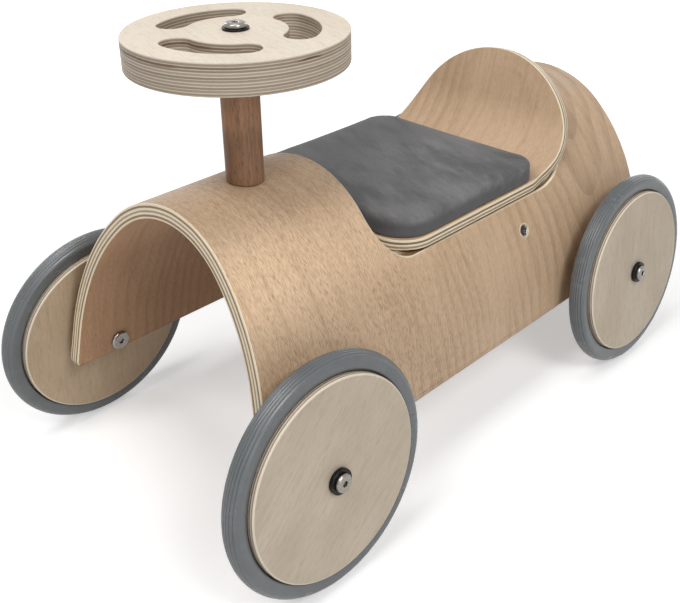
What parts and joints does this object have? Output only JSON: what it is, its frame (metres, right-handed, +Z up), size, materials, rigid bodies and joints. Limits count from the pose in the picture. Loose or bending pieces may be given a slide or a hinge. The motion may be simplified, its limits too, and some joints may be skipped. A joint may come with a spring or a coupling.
{
  "type": "wooden ride-on car",
  "caption": "Push-along ride-on car: bent plywood arch body, padded seat with round backrest, spinning steering wheel and rubber-tyred plywood disc wheels.",
  "frame": {"origin": "on the floor, below the middle of the wheelbase", "axes": "+X forward, towards the steering wheel; +Y to the car's left; +Z up"},
  "size_m": [0.5708, 0.3134, 0.3598],
  "materials": {
    "body_beech": "clear satin lacquer on beech veneer",
    "seat_beech": "clear satin lacquer on beech veneer",
    "crossbar_beech": "planed",
    "column_beech": "oiled",
    "wheel_birch": "clear satin lacquer on birch plywood",
    "steering_birch": "clear satin lacquer on birch plywood",
    "tyre_rubber": "satin grey rubber",
    "pad_suede": "brushed",
    "nickel": "nickel plated",
    "black_washer": "black",
    "black_spacer": "black nylon"
  },
  "bodies": {
    "chassis": {"body_shell": "body_beech", "seat_board": "seat_beech", "seat_pad": "pad_suede", "front_crossbar": "crossbar_beech", "rear_crossbar": "crossbar_beech", "flank_screw_left": "nickel", "flank_screw_right": "nickel", "steering_column": "column_beech", "column_bolt": "nickel", "column_washer": "nickel", "steering_screw": "nickel", "steering_washer": "black_washer", "seat_screw_front_left": "nickel", "seat_screw_front_right": "nickel", "seat_screw_rear_left": "nickel", "seat_screw_rear_right": "nickel", "axle_sleeve_front_left": "nickel", "axle_screw_front_left": "nickel", "axle_washer_front_left": "black_washer", "axle_spacer_front_left": "black_spacer", "axle_sleeve_front_right": "nickel", "axle_screw_front_right": "nickel", "axle_washer_front_right": "black_washer", "axle_spacer_front_right": "black_spacer", "axle_sleeve_rear_left": "nickel", "axle_screw_rear_left": "nickel", "axle_washer_rear_left": "black_washer", "axle_spacer_rear_left": "black_spacer", "axle_sleeve_rear_right": "nickel", "axle_screw_rear_right": "nickel", "axle_washer_rear_right": "black_washer", "axle_spacer_rear_right": "black_spacer"},
    "wheel_front_left": {"wheel_disc_front_left": "wheel_birch", "tyre_front_left": "tyre_rubber"},
    "wheel_front_right": {"wheel_disc_front_right": "wheel_birch", "tyre_front_right": "tyre_rubber"},
    "wheel_rear_left": {"wheel_disc_rear_left": "wheel_birch", "tyre_rear_left": "tyre_rubber"},
    "wheel_rear_right": {"wheel_disc_rear_right": "wheel_birch", "tyre_rear_right": "tyre_rubber"},
    "steering": {"steering_wheel": "steering_birch"}
  },
  "joints": [
    {"name": "roll_front_left", "type": "hinge", "parent": "chassis", "child": "wheel_front_left", "pos_m": [0.1965, 0.13902, 0.08887], "axis": [0, 0.9954, 0.0958], "continuous": true},
    {"name": "roll_front_right", "type": "hinge", "parent": "chassis", "child": "wheel_front_right", "pos_m": [0.1965, -0.13902, 0.08887], "axis": [0, -0.9954, 0.0958], "continuous": true},
    {"name": "roll_rear_left", "type": "hinge", "parent": "chassis", "child": "wheel_rear_left", "pos_m": [-0.1965, 0.13902, 0.08887], "axis": [0, 0.9954, 0.0958], "continuous": true},
    {"name": "roll_rear_right", "type": "hinge", "parent": "chassis", "child": "wheel_rear_right", "pos_m": [-0.1965, -0.13902, 0.08887], "axis": [0, -0.9954, 0.0958], "continuous": true},
    {"name": "steer", "type": "hinge", "parent": "chassis", "child": "steering", "pos_m": [0.138, 0, 0.33297], "axis": [0, 0, 1], "continuous": true}
  ]
}
